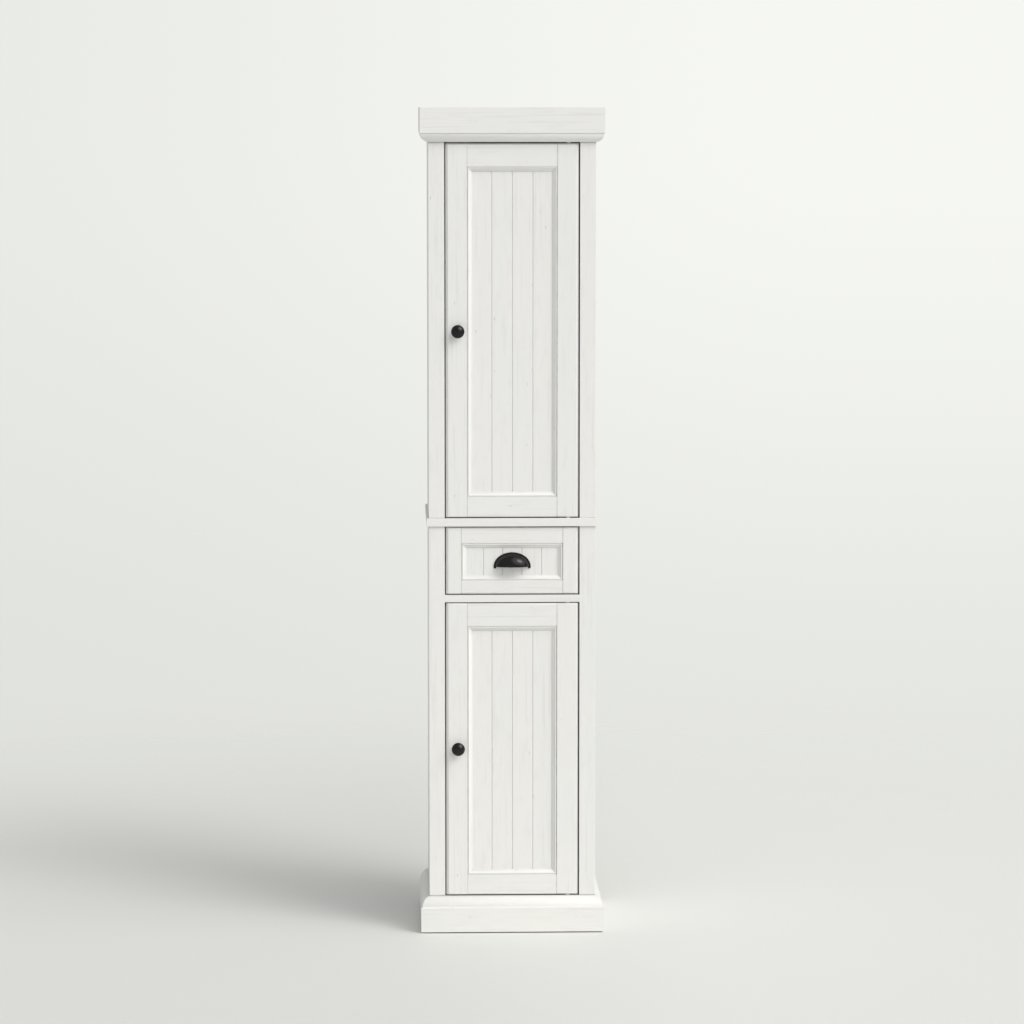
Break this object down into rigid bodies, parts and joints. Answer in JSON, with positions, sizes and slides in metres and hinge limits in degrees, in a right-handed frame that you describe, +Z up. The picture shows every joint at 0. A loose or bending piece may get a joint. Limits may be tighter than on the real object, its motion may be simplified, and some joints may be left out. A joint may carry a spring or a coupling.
{
  "type": "linen cabinet",
  "caption": "Tall white-washed linen cabinet: moulded crown and plinth, framed beadboard doors on pivots, a drawer with a cup pull, and shelves inside.",
  "frame": {"origin": "on the floor, in the middle of the plinth's footprint", "axes": "+X to the viewer's right, +Y from the front to the back, +Z up"},
  "size_m": [0.406, 0.3605, 1.829],
  "materials": {
    "white_wash": "white-washed satin paint with faint grain",
    "inside_white": "white faced board",
    "back_board": "thin white-faced hardboard",
    "runner_wood": "waxed hardwood",
    "black_metal": "black satin cast metal",
    "steel": "zinc-plated",
    "white_plastic": "white nylon"
  },
  "bodies": {
    "cabinet": {"bottom_board": "white_wash", "crown_fascia_front": "white_wash", "crown_fascia_left": "white_wash", "crown_fascia_right": "white_wash", "crown_lid": "white_wash", "crown_moulding_front": "white_wash", "crown_moulding_left": "white_wash", "crown_moulding_right": "white_wash", "door_catches": "white_plastic", "door_pivots": "white_plastic", "drawer_divider": "white_wash", "drawer_runner_left": "runner_wood", "drawer_runner_right": "runner_wood", "floor_glides": "white_plastic", "lower_back_panel": "back_board", "lower_left_side": "white_wash", "lower_left_stile": "white_wash", "lower_right_side": "white_wash", "lower_right_stile": "white_wash", "lower_shelf": "inside_white", "plinth_back_rail": "white_wash", "plinth_front": "white_wash", "plinth_left": "white_wash", "plinth_right": "white_wash", "shelf_pins": "steel", "top_board": "white_wash", "upper_back_panel": "back_board", "upper_high_shelf": "inside_white", "upper_left_side": "white_wash", "upper_left_stile": "white_wash", "upper_low_shelf": "inside_white", "upper_right_side": "white_wash", "upper_right_stile": "white_wash", "waist_board": "white_wash", "wall_rail": "inside_white"},
    "upper_door": {"upper_door_bottom_rail": "white_wash", "upper_door_hinge_stile": "white_wash", "upper_door_knob": "black_metal", "upper_door_knob_stile": "white_wash", "upper_door_panel": "white_wash", "upper_door_strike": "steel", "upper_door_top_rail": "white_wash"},
    "lower_door": {"lower_door_bottom_rail": "white_wash", "lower_door_hinge_stile": "white_wash", "lower_door_knob": "black_metal", "lower_door_knob_stile": "white_wash", "lower_door_panel": "white_wash", "lower_door_strike": "steel", "lower_door_top_rail": "white_wash"},
    "drawer": {"drawer_bottom_rail": "white_wash", "drawer_box_back": "inside_white", "drawer_box_bottom": "back_board", "drawer_box_front": "inside_white", "drawer_box_left_side": "inside_white", "drawer_box_right_side": "inside_white", "drawer_cup_pull": "black_metal", "drawer_left_stile": "white_wash", "drawer_panel": "white_wash", "drawer_right_stile": "white_wash", "drawer_top_rail": "white_wash"}
  },
  "joints": [
    {"name": "upper_door_hinge", "type": "hinge", "parent": "cabinet", "child": "upper_door", "pos_m": [0.124, -0.15, 1.3395], "axis": [0, 0, 1], "range_deg": [0, 110]},
    {"name": "lower_door_hinge", "type": "hinge", "parent": "cabinet", "child": "lower_door", "pos_m": [0.124, -0.15, 0.41025], "axis": [0, 0, 1], "range_deg": [0, 110]},
    {"name": "drawer_slide", "type": "slide", "parent": "cabinet", "child": "drawer", "axis": [0, -1, 0], "range_m": [0, 0.2]}
  ]
}
